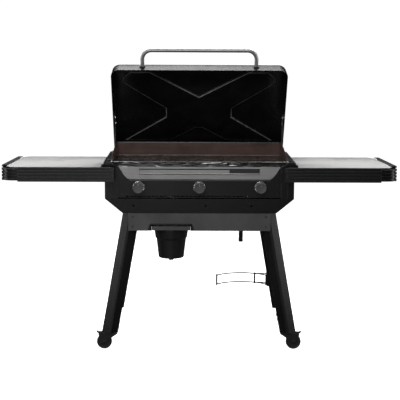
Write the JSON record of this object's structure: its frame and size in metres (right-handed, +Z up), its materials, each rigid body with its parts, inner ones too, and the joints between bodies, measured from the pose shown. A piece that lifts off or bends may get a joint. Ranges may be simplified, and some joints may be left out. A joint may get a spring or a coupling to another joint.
{
  "type": "gas griddle barbecue",
  "caption": "Gas barbecue with a flat griddle plate under a hinged lid, on a wheeled cart with side shelves, control knobs, grease keg and tank hook.",
  "frame": {"origin": "centre of the outline at floor level, with the lid open", "axes": "+X to the right seen from the front, +Y to the back, +Z up"},
  "size_m": [1.854, 0.6806, 1.4176],
  "materials": {
    "black_paint": "satin powder coat",
    "apron_paint": "textured charcoal powder coat",
    "lid_enamel": "gloss enamel",
    "rail_paint": "satin powder coat",
    "satin_steel": "satin, heat-resistant",
    "caster_black": "satin",
    "wheel_rubber": "matte",
    "stainless": "brushed",
    "bright_steel": "polished",
    "badge": "satin",
    "knob_gray": "satin with a metallic look",
    "brass": "as machined",
    "igniter_white": "glazed",
    "module_black": "moulded",
    "seasoned_steel": "seasoned, oiled",
    "guard_steel": "heat-tinted brown, satin",
    "keg_paint": "satin"
  },
  "bodies": {
    "base": {"leg_front_left": "black_paint", "leg_front_right": "black_paint", "leg_rear_left": "black_paint", "leg_rear_right": "black_paint", "front_apron": "apron_paint", "rear_apron": "apron_paint", "side_aprons": "apron_paint", "side_panel_left": "black_paint", "side_panel_right": "black_paint", "corner_caps": "black_paint", "rear_panel": "black_paint", "lower_pan": "black_paint", "firebox": "satin_steel", "zone_dividers": "satin_steel", "control_panel": "black_paint", "front_fascia": "stainless", "name_plate": "badge", "knob_bezels": "bright_steel", "gas_valves": "brass", "gas_manifold": "brass", "burners": "stainless", "igniters": "igniter_white", "igniter_module": "module_black", "leveling_feet": "stainless", "grease_chute": "stainless", "keg_rails": "black_paint", "hinge_brackets": "satin_steel", "lid_bumpers": "wheel_rubber", "shelf_tops": "stainless", "shelf_rails": "rail_paint", "shelf_corners": "black_paint", "shelf_frames": "black_paint", "rail_screws": "bright_steel", "tank_hook": "black_paint", "tank_guard": "black_paint"},
    "lid": {"lid_shell": "lid_enamel", "lid_handle": "stainless", "handle_ferrules": "wheel_rubber", "hinge_arms": "satin_steel", "lid_nuts": "bright_steel"},
    "griddle": {"griddle_plate": "seasoned_steel", "splash_guard": "guard_steel"},
    "keg": {"keg_collar": "keg_paint", "grease_keg": "keg_paint"},
    "stem_left": {"valve_stem_left": "bright_steel"},
    "dial_left": {"knob_left": "knob_gray"},
    "stem_center": {"valve_stem_center": "bright_steel"},
    "dial_center": {"knob_center": "knob_gray"},
    "stem_right": {"valve_stem_right": "bright_steel"},
    "dial_right": {"knob_right": "knob_gray"},
    "caster_front_left": {"caster_fork_front_left": "caster_black"},
    "roller_front_left": {"wheel_front_left": "wheel_rubber"},
    "pedal_left": {"brake_front_left": "caster_black"},
    "caster_front_right": {"caster_fork_front_right": "caster_black"},
    "roller_front_right": {"wheel_front_right": "wheel_rubber"},
    "pedal_right": {"brake_front_right": "caster_black"},
    "caster_rear_left": {"caster_fork_rear_left": "caster_black"},
    "roller_rear_left": {"wheel_rear_left": "wheel_rubber"},
    "caster_rear_right": {"caster_fork_rear_right": "caster_black"},
    "roller_rear_right": {"wheel_rear_right": "wheel_rubber"}
  },
  "joints": [
    {"name": "lid_hinge", "type": "hinge", "parent": "base", "child": "lid", "pos_m": [0, 0.2501, 0.898], "axis": [-1, 0, 0], "range_deg": [-57, 0]},
    {"name": "griddle_lift", "type": "slide", "parent": "base", "child": "griddle", "axis": [0, 0, 1], "range_m": [0, 0.08]},
    {"name": "keg_slide", "type": "slide", "parent": "base", "child": "keg", "axis": [0, -1, 0], "range_m": [0, 0.2]},
    {"name": "valve_push_left", "type": "slide", "parent": "base", "child": "stem_left", "axis": [0, 1, 0], "range_m": [0, 0.003], "stiffness_N_per_m": 1200, "springref_m": -0.003},
    {"name": "knob_turn_left", "type": "hinge", "parent": "stem_left", "child": "dial_left", "pos_m": [-0.287, -0.3139, 0.776], "axis": [0, -1, 0], "range_deg": [0, 180]},
    {"name": "valve_push_center", "type": "slide", "parent": "base", "child": "stem_center", "axis": [0, 1, 0], "range_m": [0, 0.003], "stiffness_N_per_m": 1200, "springref_m": -0.003},
    {"name": "knob_turn_center", "type": "hinge", "parent": "stem_center", "child": "dial_center", "pos_m": [0, -0.3139, 0.776], "axis": [0, -1, 0], "range_deg": [0, 180]},
    {"name": "valve_push_right", "type": "slide", "parent": "base", "child": "stem_right", "axis": [0, 1, 0], "range_m": [0, 0.003], "stiffness_N_per_m": 1200, "springref_m": -0.003},
    {"name": "knob_turn_right", "type": "hinge", "parent": "stem_right", "child": "dial_right", "pos_m": [0.287, -0.3139, 0.776], "axis": [0, -1, 0], "range_deg": [0, 180]},
    {"name": "swivel_front_left", "type": "hinge", "parent": "base", "child": "caster_front_left", "pos_m": [-0.424, -0.2989, 0.08], "axis": [0, 0, 1], "continuous": true},
    {"name": "roll_front_left", "type": "hinge", "parent": "caster_front_left", "child": "roller_front_left", "pos_m": [-0.451, -0.2989, 0.036], "axis": [0, -1, 0], "continuous": true},
    {"name": "brake_left", "type": "hinge", "parent": "caster_front_left", "child": "pedal_left", "pos_m": [-0.471, -0.2989, 0.073], "axis": [0, -1, 0], "range_deg": [0, 22]},
    {"name": "swivel_front_right", "type": "hinge", "parent": "base", "child": "caster_front_right", "pos_m": [0.424, -0.2989, 0.08], "axis": [0, 0, 1], "continuous": true},
    {"name": "roll_front_right", "type": "hinge", "parent": "caster_front_right", "child": "roller_front_right", "pos_m": [0.451, -0.2989, 0.036], "axis": [0, 1, 0], "continuous": true},
    {"name": "brake_right", "type": "hinge", "parent": "caster_front_right", "child": "pedal_right", "pos_m": [0.471, -0.2989, 0.073], "axis": [0, 1, 0], "range_deg": [0, 22]},
    {"name": "swivel_rear_left", "type": "hinge", "parent": "base", "child": "caster_rear_left", "pos_m": [-0.424, 0.1911, 0.08], "axis": [0, 0, 1], "continuous": true},
    {"name": "roll_rear_left", "type": "hinge", "parent": "caster_rear_left", "child": "roller_rear_left", "pos_m": [-0.42869, 0.21769, 0.036], "axis": [-0.9848, -0.1736, 0], "continuous": true},
    {"name": "swivel_rear_right", "type": "hinge", "parent": "base", "child": "caster_rear_right", "pos_m": [0.424, 0.1911, 0.08], "axis": [0, 0, 1], "continuous": true},
    {"name": "roll_rear_right", "type": "hinge", "parent": "caster_rear_right", "child": "roller_rear_right", "pos_m": [0.42869, 0.21769, 0.036], "axis": [-0.9848, 0.1736, 0], "continuous": true}
  ]
}
